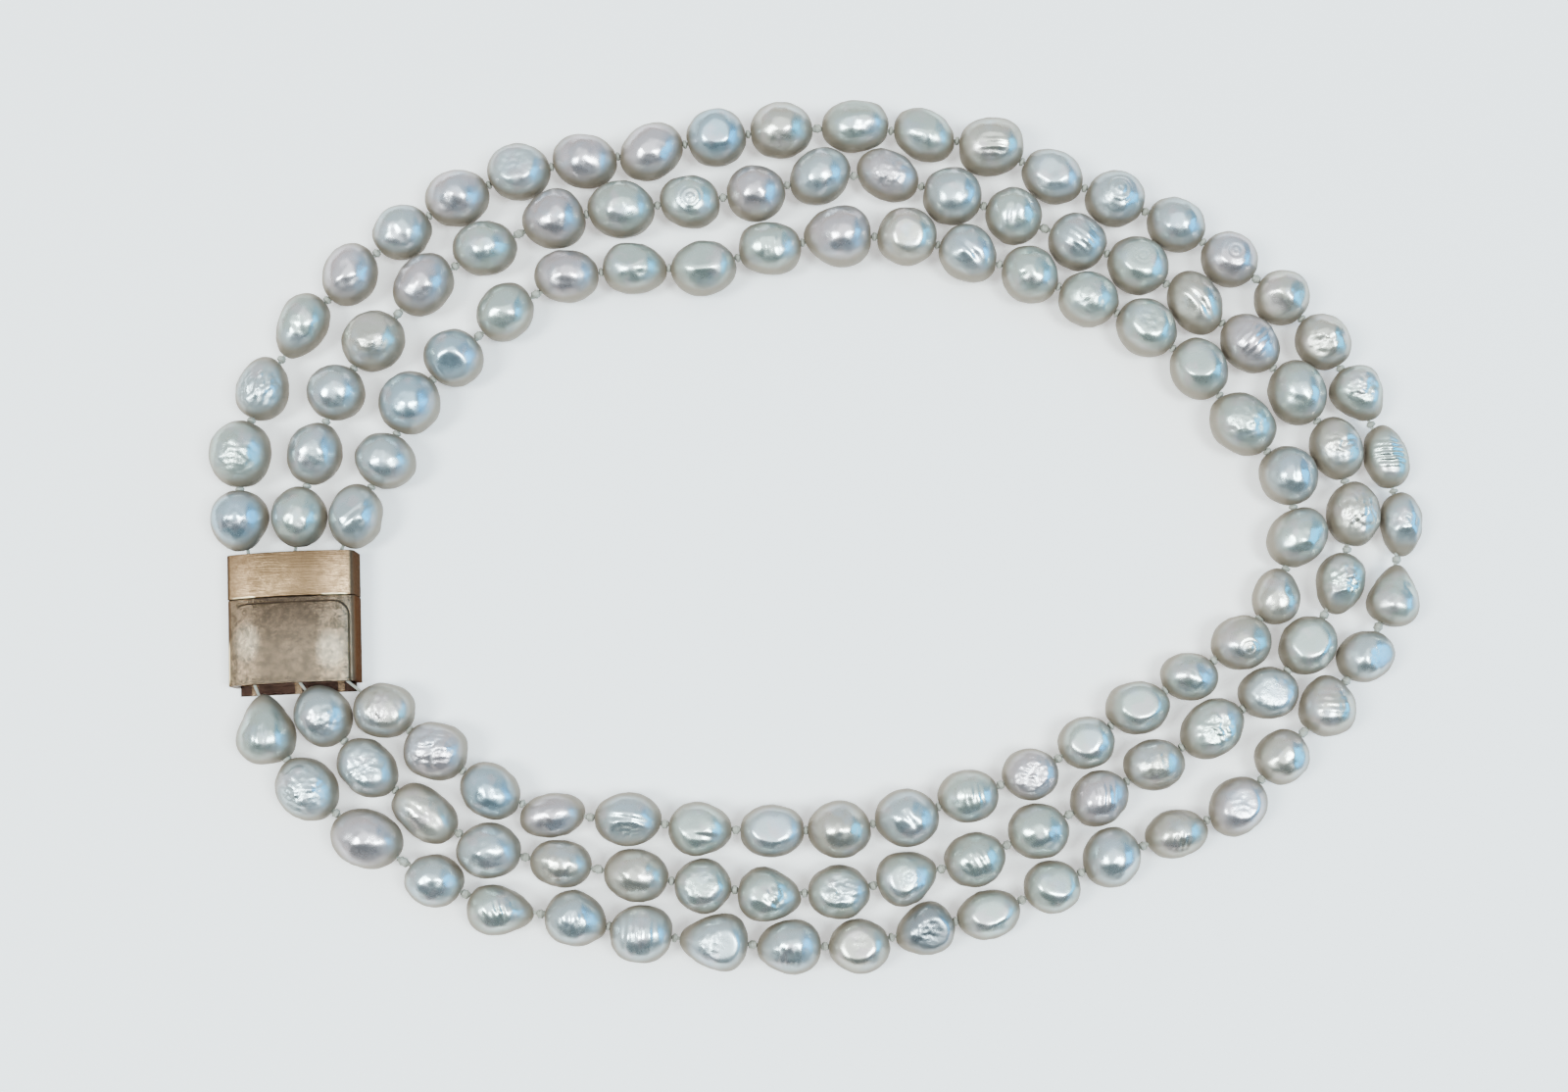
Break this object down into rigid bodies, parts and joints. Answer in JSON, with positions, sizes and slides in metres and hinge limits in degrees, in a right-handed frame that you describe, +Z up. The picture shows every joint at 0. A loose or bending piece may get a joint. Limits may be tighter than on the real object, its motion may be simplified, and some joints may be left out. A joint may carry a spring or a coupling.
{
  "type": "multi strand necklace",
  "caption": "Necklace of baroque freshwater pearls, knotted on separate strands that end in wire eyes at one rose-gold box clasp, lying as a loop on a table.",
  "frame": {"origin": "middle of the necklace's rectangular footprint, on the surface that it lies on", "axes": "+Z up from the table; +X from the clasp towards the far side of the loop; +Y from the clasp's box end towards its cap end"},
  "size_m": [0.1928, 0.14, 0.0102],
  "materials": {
    "pearl": "silvery white nacre with a soft metallic lustre",
    "thread": "white silk thread, knotted",
    "rose_gold": "rose-gold plate, brushed cap and worn polish on the box"
  },
  "bodies": {
    "root": {"clasp_box": "rose_gold", "clasp_cap": "rose_gold", "pearls_outer_a": "pearl", "pearls_outer_b": "pearl", "pearls_middle_a": "pearl", "pearls_middle_b": "pearl", "pearls_inner_a": "pearl", "pearls_inner_b": "pearl", "thread_outer": "thread", "thread_middle": "thread", "thread_inner": "thread"}
  },
  "joints": []
}
